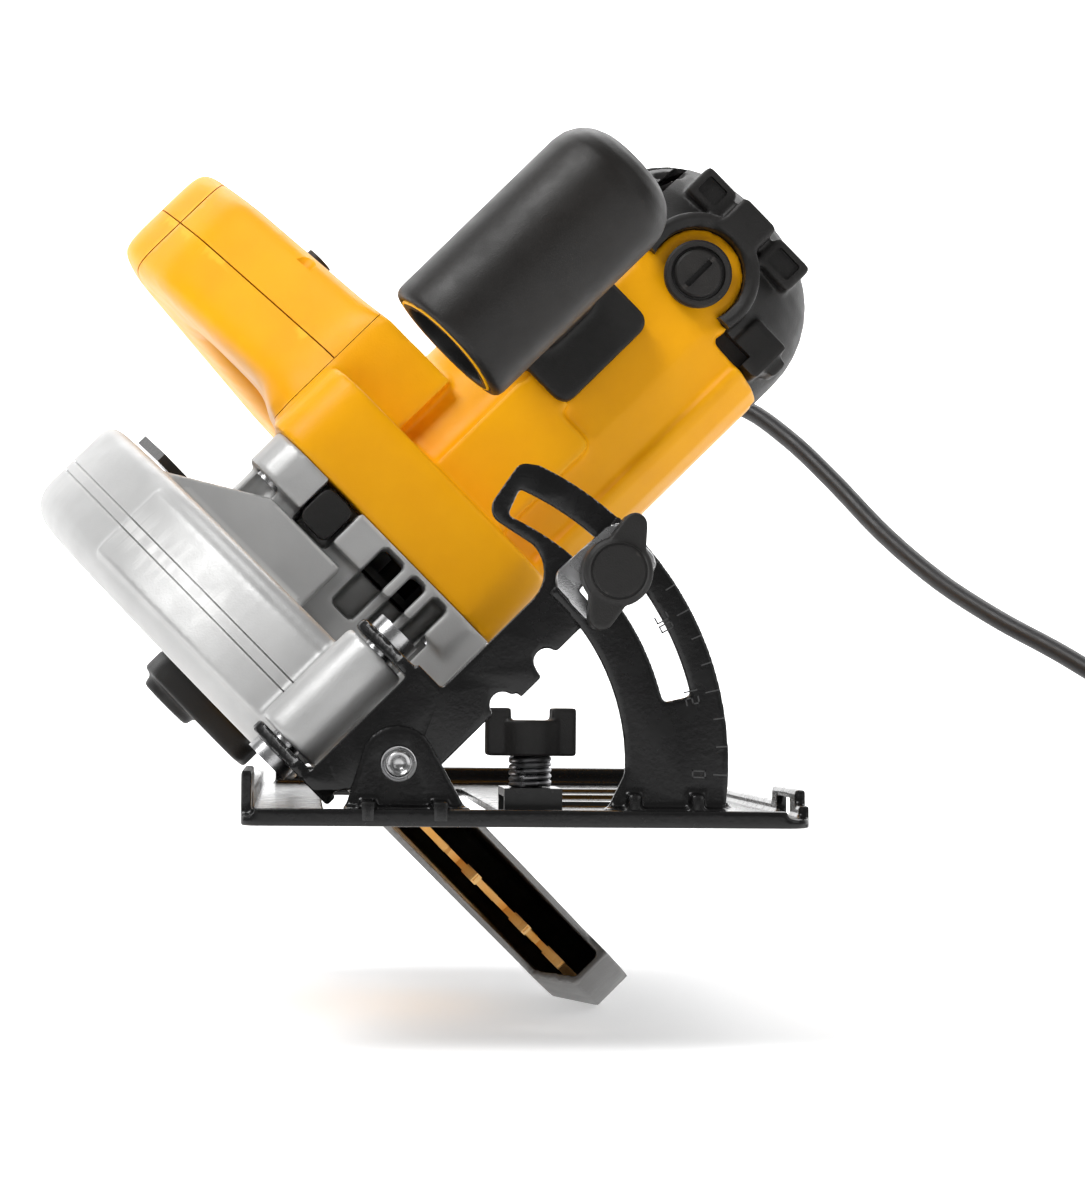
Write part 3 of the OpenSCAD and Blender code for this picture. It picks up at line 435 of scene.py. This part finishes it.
def relax(mesh, rounds, weight=None):
    """Evens out a mesh: each point moves halfway to its neighbours' middle, times its weight."""
    count = len(mesh.vertices)
    co = np.empty(count * 3, np.float64)
    mesh.vertices.foreach_get("co", co)
    co = co.reshape(-1, 3)
    ends = np.empty(len(mesh.edges) * 2, np.int64)
    mesh.edges.foreach_get("vertices", ends)
    a, b = ends[0::2], ends[1::2]
    degree = np.maximum(np.bincount(a, minlength=count) + np.bincount(b, minlength=count), 1)
    share = np.full(count, 0.5) if weight is None else 0.5 * np.clip(weight(co), 0, 1)
    for _ in range(rounds):
        total = np.stack([np.bincount(a, co[b, k], count) + np.bincount(b, co[a, k], count)
                          for k in range(3)], 1)
        co += (total / degree[:, None] - co) * share[:, None]
    mesh.vertices.foreach_set("co", co.ravel())
    mesh.update()
    return mesh


def remeshed(shape, voxel):
    return through(shape, ("REMESH", {"mode": "VOXEL", "voxel_size": voxel}))


def thinned(shape, ratio):
    return through(shape, ("DECIMATE", {"decimate_type": "COLLAPSE", "ratio": ratio}))


def as_piece(name, shape, material, body, replaces=(), place=None, sharp=35):
    """Places a shape, in millimetres of the saw or base frame, as a piece on a body."""
    piece = work_object(shape, name)
    piece.name = name
    if place is not None:
        piece.data.transform(place)
    piece.data.materials.clear()
    piece.data.materials.append(MATS[material])
    for face in piece.data.polygons:
        face.use_smooth = True
        face.material_index = 0
    piece.data.set_sharp_from_angle(angle=math.radians(sharp))
    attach(piece, body)
    if replaces:
        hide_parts(*replaces)
    return piece


BODY_OF = {n: b for b, names in frame["record"]["behaviour"]["bodies"].items() for n in names}


def cad_mm(node, place=SAW):
    """A CAD node's mesh in millimetres of the saw or base frame."""
    mesh = nodes[node].data.copy()
    mesh.transform(place.inverted())
    welded = bmesh.new()
    welded.from_mesh(mesh)
    bmesh.ops.remove_doubles(welded, verts=welded.verts, dist=1e-3)
    welded.to_mesh(mesh)
    welded.free()
    return mesh


def rounded_cad(node, voxel, rounds, ratio=0.4, place=SAW):
    """Replaces a CAD node with a copy of it whose edges are rounded."""
    mesh = relax(remeshed(cad_mm(node, place), voxel), rounds)
    return as_piece(node + "_piece", thinned(mesh, ratio), slot_of[node], BODY_OF[node],
                    [node], place)


# ---------------------------------------------------------------- yellow body
MOTOR_Y, MOTOR_W, MOTOR_R = 8.08, 34.0, 37     # axis and half width of the motor
ROUNDNESS = 2.5       # of the motor's section: 2 is a circle
BRUSH_U = 151         # both brush caps
BODY_VOXEL = 0.9
SCREW_HOLE_R = 4.4
# Outlines and places in (y, w)
HANDLE = rounded([(-29, 60), (-27, 88), (17, 140), (44, 158), (76, 156), (156, 108), (166, 90),
                  (160, 34), (142, 20), (40, 20), (40, 60)],
                 [0, 20, 24, 22, 30, 16, 20, 16, 20, 0, 0])
HANDLE_SCREWS = [(-2, 100), (24, 134), (150, 96), (146, 40), (70, 34)]
HAND_HOLE = rounded([(26, 82), (32, 112), (46, 122), (68, 121), (130, 84), (134, 70), (126, 52),
                     (64, 50), (44, 72)], [8, 10, 8, 14, 8, 8, 12, 12, 10])


def motor_outline():
    """Square-round motor section, with the front's facets, groove and ridge."""
    front = [(-29.0, 47), (-29.4, 33), (-28.8, 21.2), (-25.9, 10.6), (-25.2, 9.7), (-27.6, 8.8),
             (-26.6, 6.2), (-19.5, 0.6), (-12.0, -2.2)]
    out = []
    for i in range(72):
        a = math.radians(5 * i)
        size = (abs(math.cos(a)) ** ROUNDNESS
                + abs(math.sin(a)) ** ROUNDNESS) ** (-1 / ROUNDNESS)
        y = MOTOR_Y + MOTOR_R * size * math.cos(a)
        w = MOTOR_W + MOTOR_R * size * math.sin(a)
        if y > -11 or w > 50:
            out.append((y, w))
        elif front:
            out += front
            front = []
    return out


def yellow_body():
    """Motor housing and main handle as one smooth solid, hollow for what they hold."""
    core = slab(motor_outline(), 58, 142)
    # Against the gear case
    flange = slab(rounded(box2((-45.6, 2.4), (51.6, 84.6)), 13), 40, 63)
    # A blank raised field on the front, with a tapered step at its left
    panel = slab(rounded(box2((50, 21), (98, 47)), 3), -33, -20, "y")
    wedge = bmesh.new()
    corners = [wedge.verts.new(v) for v in (
        (64, -28, 33.2), (101, -28, 33.2), (101, -33.4, 33.2), (64, -28, 46),
        (101, -28, 46), (101, -33.0, 46))]
    for face in ((0, 2, 1), (3, 4, 5), (0, 1, 4, 3), (1, 2, 5, 4), (0, 3, 5, 2)):
        wedge.faces.new([corners[i] for i in face])
    bmesh.ops.recalc_face_normals(wedge, faces=wedge.faces)
    # The handle, its foot on the motor and its rib along the gear case
    handle = slab(HANDLE, 47, 83)
    flare = slab(rounded([(-24, 62), (-22, 92), (30, 92), (50, 62)], 4), 43, 83)
    rear = slab(rounded([(52, 52), (100, 52), (100, 64), (52, 84)], 4), 43, 47.5)
    # Round the front brush cap
    tower = drum(12.8, -28.5, -20, "y", (BRUSH_U, 0, MOTOR_W))
    web = slab(arc_points((BRUSH_U, MOTOR_W), 17.4, 104, 256, 12), -28.2, -18, "y")
    whole = joined(core, flange, panel, wedge, handle, flare, rear, tower, web)
    whole = remeshed(whole, BODY_VOXEL)
    mesh = cut(whole, slab(HAND_HOLE, 30, 99))

    def handle_only(co):
        _, y, w = co.T
        up = np.clip((w - 84) / 10, 0, 1)
        back = np.clip((y - 50) / 8, 0, 1)
        return np.clip(np.maximum(up, back), 0, 1)

    def flange_only(co):
        u = co[:, 0]
        return 0.8 * np.clip((66 - u) / 4, 0, 1) * np.clip((u - 43) / 4, 0, 1)

    mesh = remeshed(mesh, BODY_VOXEL)
    relax(mesh, 110, handle_only)
    relax(mesh, 14, flange_only)
    relax(mesh, 2)
    # Room for the motor, then for the trigger
    mesh = cut(mesh, drum(33, 39, 131, "u", (0, MOTOR_Y, MOTOR_W)))
    mesh = cut(mesh, slab(box2((55.8, 97), (74.2, 140)), 38, 95, "y"))
    mesh = cut(mesh, drum(SCREW_HOLE_R, 78.5, 90, "u", (0, -8, 113.6), steps=24))
    for y, w in HANDLE_SCREWS:
        mesh = cut(mesh, drum(SCREW_HOLE_R, 79.0, 92, "u", (0, y, w), steps=32))
    # The fine groove along the top of the handle
    mesh = cut(mesh, slab(box2((-20, 148.2), (100, 148.55)), 40, 90))
    return thinned(mesh, 0.5)


body = yellow_body()
upper = [(-80, 86.4), (46, 86.4), (46, -20), (220, -20), (220, 220), (-80, 220)]
for name, low, high in (("left_handle", 0, 64.8), ("right_handle", 65.2, 120)):
    as_piece(name + "_piece", cut(body.copy(), slab(upper, low, high), "INTERSECT"), "yellow",
             "saw_body", [name], SAW)
lower = [(-80, -40), (45.8, -40), (45.8, 86.2), (-80, 86.2)]
as_piece("motor_housing_piece", cut(body, slab(lower, 0, 200), "INTERSECT"), "yellow", "saw_body",
         ["motor_housing"], SAW)


# ---------------------------------------------------------------- metal castings and pressings
CASTINGS = {"gear_case": (0.8, 2), "lower_guard": (0.7, 1),
            "guard_lever": (0.6, 14), "spindle_lock": (0.4, 3), "trigger": (0.6, 4),
            "depth_lever": (0.6, 3), "plug": (0.7, 4), "strain_relief": (0.6, 2),
            "front_handle_arm": (0.7, 6), "front_grip": (0.7, 4)}
for node, (voxel, rounds) in CASTINGS.items():
    rounded_cad(node, voxel, rounds)
for node in ("shoe", "tilt_bracket", "bevel_quadrant", "front_ear", "rear_ear", "clamp_plate"):
    rounded_cad(node, 0.6, 2, 0.3, BASE)


HOOD_AXIS = SAW.inverted() @ Vector(joints["spindle_joint"]["pos_m"])


def upper_guard():
    """The cast guard with its twin parting grooves cut again after the rounding."""
    def rim_point(radius, angle):
        return (-radius * math.sin(math.radians(angle)),
                HOOD_AXIS.z - radius * math.cos(math.radians(angle)))

    casting = bmesh.new()
    casting.from_mesh(cad_mm("upper_guard"))
    panel = ([rim_point(106.9, a) for a in range(94, 139, 2)]
             + [rim_point(104.8, a) for a in range(138, 93, -2)])
    mesh = relax(remeshed(joined(casting, slab(panel, -16.5, 5.5)), 0.8), 3)
    for u in (-7.4, -4.2):
        mesh = cut(mesh, turned([(105.3, u - 0.22), (108, u - 0.22), (108, u + 0.22),
                                 (105.3, u + 0.22)], "u", (0, HOOD_AXIS.y, HOOD_AXIS.z), 160))
    return thinned(mesh, 0.5)


as_piece("upper_guard_piece", upper_guard(), "cast", "saw_body", ["upper_guard"], SAW)


# ---------------------------------------------------------------- end cap and brush caps
def end_cap():
    """The CAD cap with its clip block, side blocks, hooked tab and brush collars."""
    cap = bmesh.new()
    cap.from_mesh(cad_mm("end_cap"))
    extra = [slab(rounded(box2((164, 27.6), (175, 40)), 1.2), -33.5, -22, "y"),
             slab(rounded(box2((166, 41.6), (175.4, 53)), 1.5), -26.2, -12, "y"),
             slab(rounded(box2((166, 13.4), (175.4, 26)), 1.5), -26.2, -12, "y"),
             slab(rounded(box2((143.5, 2.6), (156, 14)), 1.2), -24.6, -12, "y"),
             slab(rounded(box2((147.5, -0.6), (153, 4)), 0.8), -22.6, -10, "y")]
    for s in (-1, 1):
        extra.append(turned([(13.9, 0), (15.4, -1.0), (17.0, 0), (17.0, 5), (13.9, 5)], "y",
                            (BRUSH_U, MOTOR_Y + (-40.5 if s < 0 else 35.5), MOTOR_W)))
    mesh = relax(remeshed(joined(cap, *extra), 0.7), 3)
    mesh = cut(mesh, slab(box2((130, 8), (146.8, 60)), -60, -19.6, "y"))
    mesh = cut(mesh, slab(rounded(box2((160, 57), (176, 60)), 0.8), -40, 4, "y"))
    mesh = cut(mesh, slab(rounded(box2((168.2, 44), (173.6, 50.8)), 0.9), -40, -24.6, "y"))
    mesh = cut(mesh, slab(rounded(box2((168.2, 15.8), (173.6, 23.6)), 0.9), -40, -24.6, "y"))
    return thinned(mesh, 0.5)


as_piece("end_cap_piece", end_cap(), "black_plastic", "saw_body", ["end_cap"], SAW)


def brush_cap(front):
    """A screw-in cap: an outer ring, a raised middle and a coin slot."""
    top = -33.6 if front else 49.8
    out = -1 if front else 1
    profile = [(0, top), (5.9, top), (6.5, top - 0.6 * out), (6.6, top - 1.4 * out),
               (7.2, top - 1.5 * out), (7.4, top - 0.5 * out), (8.6, top - 0.5 * out),
               (9.2, top - 1.1 * out), (9.2, top - 3.0 * out), (0, top - 3.0 * out)]
    knife = slab(rounded(box2((-4.6, -0.8), (4.6, 0.8)), 0.5), top - 1.3, top + 1.3, "y")
    bmesh.ops.translate(knife, verts=knife.verts, vec=(BRUSH_U, 0, MOTOR_W))
    return cut(turned(profile, "y", (BRUSH_U, 0, MOTOR_W), 64), knife)


caps = bmesh.new()
for front in (True, False):
    caps.from_mesh(brush_cap(front))
as_piece("brush_caps_piece", caps, "black_plastic", "saw_body", ["brush_caps"], SAW)

# ---------------------------------------------------------------- front handle
as_piece("front_handle_core_piece", relax(remeshed(cad_mm("front_handle_core"), 0.6), 1),
         "black_plastic", "saw_body", ["front_handle_core"], SAW)
GRIP = (82, -88, 65)
RIM_R = 15
MOUTH_SLOPE = 0.1045  # the grip's open end slants by 6 degrees
rim = []
for angle in range(0, 360, 6):
    across = RIM_R * math.sin(math.radians(angle))
    rim.append((GRIP[0] + 0.5 + max(0, -0.6 - across * MOUTH_SLOPE), GRIP[1] + across,
                GRIP[2] + RIM_R * math.cos(math.radians(angle))))
as_piece("grip_rim", tube_mesh(rim, 0.55, True), "yellow", "saw_body", place=SAW)

# ---------------------------------------------------------------- clamp knob, fence screw
knob_pos = Vector(joints["bevel_knob_joint"]["pos_m"]) - PIVOT
BOLT = (BASE @ Matrix.Rotation(-math.atan2(knob_pos.z, knob_pos.x), 4, "Y")
        @ Matrix.Translation((math.hypot(knob_pos.x, knob_pos.z) / MM, 0, 0)))


def clamp_knob():
    """A round thumb knob with two tapered wings, open for its bolt."""
    parts = [drum(8.3, -147.4, -136.4, "y", edge=1.0), drum(7.0, -148.6, -138, "y", edge=0.8)]
    for turn in (0, 180):
        outline = arc_points((11.6, 0), 2.9, -78, 78, 8) + arc_points((0, 0), 6.2, 78, 282, 8)
        part = slab(outline, -147.6, -138.2, "y")
        bmesh.ops.rotate(part, verts=part.verts,
                         matrix=Matrix.Rotation(math.radians(-28.6 - turn), 3, "Y"))
        parts.append(part)
    mesh = relax(remeshed(joined(*parts), 0.35), 5)
    mesh = cut(mesh, turned([(6.1, -149.5), (6.7, -149.5), (6.7, -148.0), (6.1, -148.0)], "y"))
    return thinned(cut(mesh, drum(3.02, -146.2, -130, "y")), 0.5)


as_piece("bevel_knob_piece", clamp_knob(), "black_plastic", "bevel_knob", ["bevel_knob"], BOLT)

fence = cad_mm("fence_spring", BASE)
low = [min(v.co[k] for v in fence.vertices) for k in range(3)]
high = [max(v.co[k] for v in fence.vertices) for k in range(3)]
middle = [(low[k] + high[k]) / 2 for k in range(3)]
TURNS, COIL_R, WIRE_R = 5.5, 4.55, 0.72
coil = []
for i in range(int(TURNS * 20) + 1):
    t = i / (TURNS * 20)
    rise = min(max((t - 0.12) / 0.76, 0), 1)
    coil.append((middle[0] + COIL_R * math.cos(2 * math.pi * TURNS * t),
                 middle[1] + COIL_R * math.sin(2 * math.pi * TURNS * t),
                 low[2] + 0.75 + (high[2] - low[2] - 1.5) * rise))
as_piece("fence_spring_piece", tube_mesh(coil, WIRE_R), "spring_steel", BODY_OF["fence_spring"],
         ["fence_spring"], BASE)
rounded_cad("fence_knob", 0.4, 4, 0.5, BASE)

# ---------------------------------------------------------------- socket head of the front pivot
HEAD_Y = min(v.co.y for v in cad_mm("front_pivot", BASE).vertices)
face = [(0, 1.9), (1.5, 1.9), (1.9, 0.3), (2.7, 0), (3.1, 0.3), (3.2, 1.7), (3.5, 1.8),
        (3.7, 1.1), (4.15, 1.0), (4.2, 1.5), (4.2, 2.6), (0, 2.6)]
pivot = bmesh.new()
pivot.from_mesh(cut(cad_mm("front_pivot", BASE), drum(6, HEAD_Y - 1, HEAD_Y + 2.0, "y")))
pivot.from_mesh(through(turned([(r, HEAD_Y + y) for r, y in face], "y")))
as_piece("front_pivot_piece", pivot, "bright_steel", BODY_OF["front_pivot"], ["front_pivot"],
         BASE)

# ---------------------------------------------------------------- bevel scale
SCALE_Y = -133.0      # front face of the bevel quadrant
ZERO_AT = -1.6        # degrees above level
STROKES = {
    "0": [(0, 0), (1, 0), (1, 2), (0, 2), (0, 0)],
    "1": [(0.5, 0), (0.5, 2)],
    "3": [(0, 2), (1, 2), (1, 0), (0, 0)],
    "5": [(1, 2), (0, 2), (0, 1), (1, 1), (1, 0), (0, 0)],
}


def bar(p, q, width=0.34):
    """A raised line on the quadrant's front face, in its (x, z) plane."""
    p, q = Vector(p), Vector(q)
    side = (q - p).normalized() * width / 2
    across = Vector((-side.y, side.x))
    outline = [tuple(p - side - across), tuple(q + side - across), tuple(q + side + across),
               tuple(p - side + across)]
    return slab(outline, SCALE_Y - 0.12, SCALE_Y + 0.2, "y")


def polar(radius, angle):
    return (radius * math.cos(math.radians(angle)), radius * math.sin(math.radians(angle)))


marks = []
for step in range(10):
    angle = 5 * step + ZERO_AT
    marks.append(bar(polar(78.2, angle), polar(76.0 if step % 3 else 75.2, angle)))
for text, angle in (("0", ZERO_AT), ("15", 15 + ZERO_AT), ("30", 30 + ZERO_AT)):
    for place, digit in enumerate(text):
        middle_at = Vector(polar(71.6, angle + 1.9 * (place - (len(text) - 1) / 2) * -1))
        turn = math.radians(angle + 90)
        points = [middle_at + Matrix.Rotation(turn, 2) @ Vector(((x - 0.5) * -1.5, (y - 1) * 1.5))
                  for x, y in STROKES[digit]]
        marks += [bar(p, q) for p, q in zip(points, points[1:])]
MATS["scale_grey"] = shade("scale_grey", (0.055, 0.055, 0.055), (0.04, 0.04, 0.04), 0.35, 0.2, 0.4)
as_piece("bevel_scale", joined(*marks), "scale_grey", "base", place=BASE)


# ---------------------------------------------------------------- cord
CORD_MM = 6.2
COIL_ACROSS, COIL_HIGH = 3, 4
TIE_MM = 1.0
ROUTE = [
    (-6, 206, 98), (-4, 226, 101), (6, 246, 107), (26, 258, 114), (52, 261, 120),
    (80, 253, 124), (106, 238, 124), (128, 220, 118), (143, 206, 106), (157, 192, 90),
    (171, 176, 72), (186, 158, 56), (202, 140, 43), (220, 122, 31), (238, 104, 17),
    (256, 86, 0), (274, 69, -20), (292, 52, -40), (308, 34, -54), (320, 12, -62),
    (324.9, -14, -64.5),
]
COIL_AT = Vector((284.6, -14, -PIVOT.z / MM))
COIL_MID = 5.5 * CORD_MM


def spline(points, steps):
    """Points along the Catmull-Rom curve that part.scad's cord follows."""
    out = []
    last = len(points) - 1
    for i in range(last):
        a, b, c, d = (Vector(points[j]) for j in (max(i - 1, 0), i, i + 1, min(i + 2, last)))
        for k in range(steps):
            t = k / steps
            out.append(0.5 * (2 * b + (c - a) * t + (2 * a - 5 * b + 4 * c - d) * t * t
                              + (3 * b - a - 3 * c + d) * t ** 3))
    return out + [Vector(points[-1])]


def coil_turns():
    """Neat layers from the outer turn inwards, then up and out again, clockwise from above."""
    out = []
    per_turn = 48
    radii = [COIL_MID + (1 - k) * CORD_MM for k in range(COIL_ACROSS)]
    for layer in range(COIL_HIGH):
        order = radii if layer % 2 == 0 else radii[::-1]
        z = COIL_AT.z + TIE_MM + CORD_MM * (layer + 0.5)
        for t, radius in enumerate(order):
            following = order[t + 1] if t + 1 < len(order) else None
            for k in range(per_turn):
                share = max(0.0, (k / per_turn - 0.8) / 0.2)
                share = share * share * (3 - 2 * share)
                r, h = radius, z
                if following is not None:
                    r += (following - radius) * share
                elif layer + 1 < COIL_HIGH:
                    h += CORD_MM * share
                angle = -2 * math.pi * k / per_turn
                out.append(Vector((COIL_AT.x + r * math.cos(angle),
                                   COIL_AT.y + r * math.sin(angle), h)))
    return out


def tube(name, points, radius, material, resolution=6):
    curve = bpy.data.curves.new(name, "CURVE")
    curve.dimensions = "3D"
    curve.bevel_depth = radius
    curve.bevel_resolution = resolution
    curve.use_fill_caps = True
    line = curve.splines.new("POLY")
    line.points.add(len(points) - 1)
    for spot, point in zip(line.points, points):
        spot.co = (*point, 1)
    line.use_smooth = True
    piece = bpy.data.objects.new(name, curve)
    piece.data.materials.append(material)
    bpy.context.scene.collection.objects.link(piece)
    return piece


cord_path = [BASE @ p for p in spline(ROUTE, 6)[:-1] + coil_turns()]
cord = tube("cord", cord_path, CORD_MM / 2 * MM, MATS["cord_rubber"])
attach(cord, "saw_body")
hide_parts("cord_run", "cord_coil")
